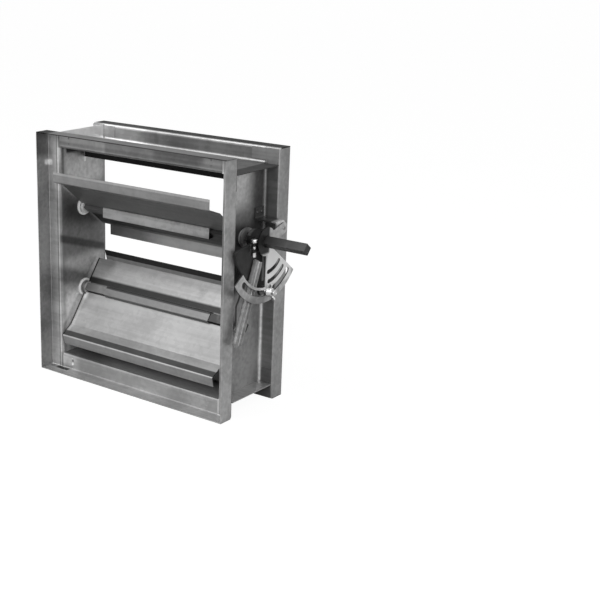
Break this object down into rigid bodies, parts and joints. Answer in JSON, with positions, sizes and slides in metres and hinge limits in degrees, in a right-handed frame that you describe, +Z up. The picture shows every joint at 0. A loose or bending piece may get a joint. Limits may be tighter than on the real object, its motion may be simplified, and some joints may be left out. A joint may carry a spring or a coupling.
{
  "type": "opposed-blade volume control damper",
  "caption": "Flanged rectangular duct damper with folded opposed blades on square shafts, a crank linkage and a hand quadrant with locking wing nut.",
  "frame": {"origin": "centre of the base: the middle of the width and of the duct depth, at the lips' lowest faces", "axes": "+X along the shafts towards the operating side, +Y along the duct from front to rear, +Z up"},
  "size_m": [0.43, 0.148, 0.368],
  "materials": {
    "zinc_sheet": "satin",
    "blade_sheet": "satin",
    "bright_sheet": "satin",
    "plain_steel": "satin",
    "dark_bar": "satin",
    "cast_dark": "matte",
    "bearing_dark": "matte",
    "bush_brass": "satin",
    "plated": "polished"
  },
  "bodies": {
    "casing": {"bottom_channel": "zinc_sheet", "bottom_stop": "zinc_sheet", "front_corner_bottom_left": "zinc_sheet", "front_corner_bottom_right": "zinc_sheet", "front_corner_top_left": "zinc_sheet", "front_corner_top_right": "zinc_sheet", "locking_plate": "bright_sheet", "lower_bearings": "bearing_dark", "plate_bracket": "bright_sheet", "rear_corner_bottom_left": "zinc_sheet", "rear_corner_bottom_right": "zinc_sheet", "rear_corner_top_left": "zinc_sheet", "rear_corner_top_right": "zinc_sheet", "side_channel_left": "zinc_sheet", "side_channel_right": "zinc_sheet", "top_channel": "zinc_sheet", "top_stop": "zinc_sheet", "upper_bearings": "bearing_dark"},
    "upper_set": {"upper_blade": "blade_sheet", "upper_bushes": "bush_brass", "upper_crank": "plain_steel", "upper_end_plate": "plated", "upper_link_pin": "plated", "upper_saddle": "bright_sheet", "upper_shaft": "dark_bar", "quadrant_hub": "cast_dark", "hand_lever": "bright_sheet", "hub_clamp_bolt": "plated", "locking_bolt": "plated"},
    "lower_set": {"lower_blade": "blade_sheet", "lower_bushes": "bush_brass", "lower_crank": "plain_steel", "lower_end_plate": "plated", "lower_link_pin": "plated", "lower_saddle": "bright_sheet", "lower_shaft": "dark_bar"},
    "link": {"link_bar": "plain_steel"},
    "nut": {"wing_nut": "plated"}
  },
  "joints": [
    {"name": "hand_lever_turn", "type": "hinge", "parent": "casing", "child": "upper_set", "pos_m": [0, 0, 0.2485], "axis": [-1, 0, 0], "range_deg": [-40, 50]},
    {"name": "lower_blade_turn", "type": "hinge", "parent": "casing", "child": "lower_set", "pos_m": [0, 0, 0.1195], "axis": [-1, 0, 0], "range_deg": [-36.01, 28.81]},
    {"name": "link_turn", "type": "hinge", "parent": "upper_set", "child": "link", "pos_m": [0, 0.01992, 0.25024], "axis": [-1, 0, 0], "range_deg": [-50.01, 40.01]},
    {"name": "wing_nut_turn", "type": "hinge", "parent": "upper_set", "child": "nut", "pos_m": [0, 0.00628, 0.17677], "axis": [1, 0, 0], "range_deg": [0, 180]}
  ],
  "couplings": [
    {"joint": "lower_blade_turn", "follows": "hand_lever_turn", "ratio": -0.72},
    {"joint": "link_turn", "follows": "hand_lever_turn", "ratio": -1}
  ]
}
